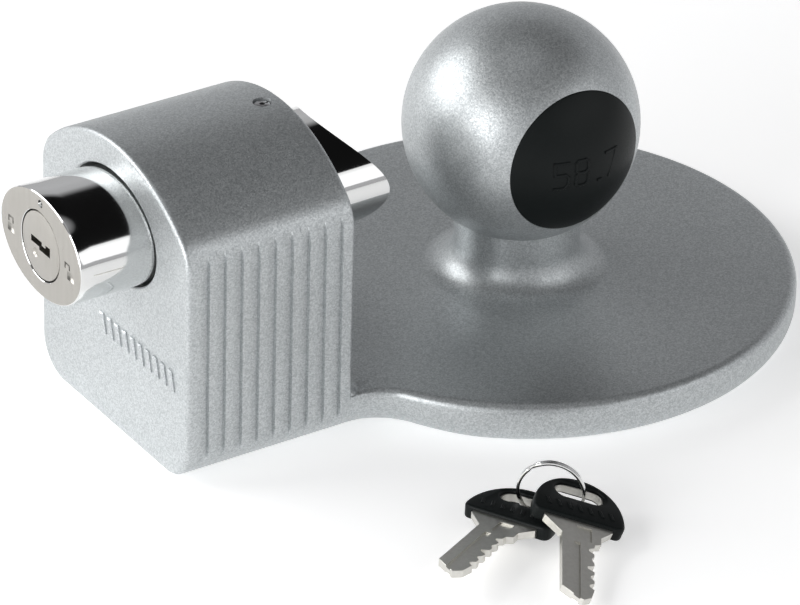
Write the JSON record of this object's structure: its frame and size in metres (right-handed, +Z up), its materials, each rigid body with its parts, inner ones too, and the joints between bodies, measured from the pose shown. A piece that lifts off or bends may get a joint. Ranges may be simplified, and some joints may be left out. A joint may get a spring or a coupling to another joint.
{
  "type": "trailer coupler lock",
  "caption": "Lock for a ball trailer coupler: round plate with hitch ball, ribbed block with sliding key-locked oval bolt, and keys on a ring.",
  "frame": {"origin": "the hitch ball's vertical axis where it meets the flat underside of the plate", "axes": "+Z up along the ball's axis; +X from the lock block's outer face past the ball, the way the bolt slides in; -Y is the side the ball's size cap faces"},
  "size_m": [0.2056, 0.1965, 0.0807],
  "materials": {
    "silver_paint": "satin metallic paint",
    "chrome": "polished",
    "nickel": "satin nickel plate",
    "steel": "plain",
    "brass": "plain",
    "black_plastic": "satin"
  },
  "bodies": {
    "base": {"base_casting": "silver_paint", "hitch_ball": "silver_paint", "ball_size_cap": "black_plastic", "travel_stop_pin": "steel"},
    "bolt": {"lock_bolt": "chrome", "plug_retaining_screw": "steel"},
    "plug": {"key_plug": "nickel", "lock_cam": "steel", "wafer_spring_1": "steel", "wafer_spring_2": "steel", "wafer_spring_3": "steel", "wafer_spring_4": "steel", "wafer_spring_5": "steel"},
    "wafer_a": {"wafer_1": "brass"},
    "wafer_b": {"wafer_2": "brass"},
    "wafer_c": {"wafer_3": "brass"},
    "wafer_d": {"wafer_4": "brass"},
    "wafer_e": {"wafer_5": "brass"},
    "ring": {"key_ring": "chrome"},
    "key_1": {"key_1_head": "black_plastic", "key_1_blade": "nickel"},
    "key_2": {"key_2_head": "black_plastic", "key_2_blade": "nickel"}
  },
  "joints": [
    {"name": "bolt_slide", "type": "slide", "parent": "base", "child": "bolt", "axis": [1, 0, 0], "range_m": [0, 0.02]},
    {"name": "plug_turn", "type": "hinge", "parent": "bolt", "child": "plug", "pos_m": [-0.125, 0, 0.0554], "axis": [1, 0, 0], "range_deg": [0, 90]},
    {"name": "wafer_a_slide", "type": "slide", "parent": "plug", "child": "wafer_a", "axis": [0, 1, 0], "range_m": [0, 0.001], "deforming": ["wafer_spring_1"]},
    {"name": "wafer_b_slide", "type": "slide", "parent": "plug", "child": "wafer_b", "axis": [0, 1, 0], "range_m": [0, 0.001], "deforming": ["wafer_spring_2"]},
    {"name": "wafer_c_slide", "type": "slide", "parent": "plug", "child": "wafer_c", "axis": [0, 1, 0], "range_m": [0, 0.001], "deforming": ["wafer_spring_3"]},
    {"name": "wafer_d_slide", "type": "slide", "parent": "plug", "child": "wafer_d", "axis": [0, 1, 0], "range_m": [0, 0.001], "deforming": ["wafer_spring_4"]},
    {"name": "wafer_e_slide", "type": "slide", "parent": "plug", "child": "wafer_e", "axis": [0, 1, 0], "range_m": [0, 0.001], "deforming": ["wafer_spring_5"]},
    {"name": "ring_lift", "type": "slide", "parent": "base", "child": "ring", "axis": [0, 0, 1], "range_m": [0, 0.1]},
    {"name": "key_1_swing", "type": "hinge", "parent": "ring", "child": "key_1", "pos_m": [-0.0501, -0.0898, 0.00835], "axis": [0.6561, 0.7547, 0], "range_deg": [0, 10]},
    {"name": "key_2_swing", "type": "hinge", "parent": "ring", "child": "key_2", "pos_m": [-0.0501, -0.0898, 0.00835], "axis": [-0.6561, -0.7547, 0], "range_deg": [0, 10]}
  ]
}
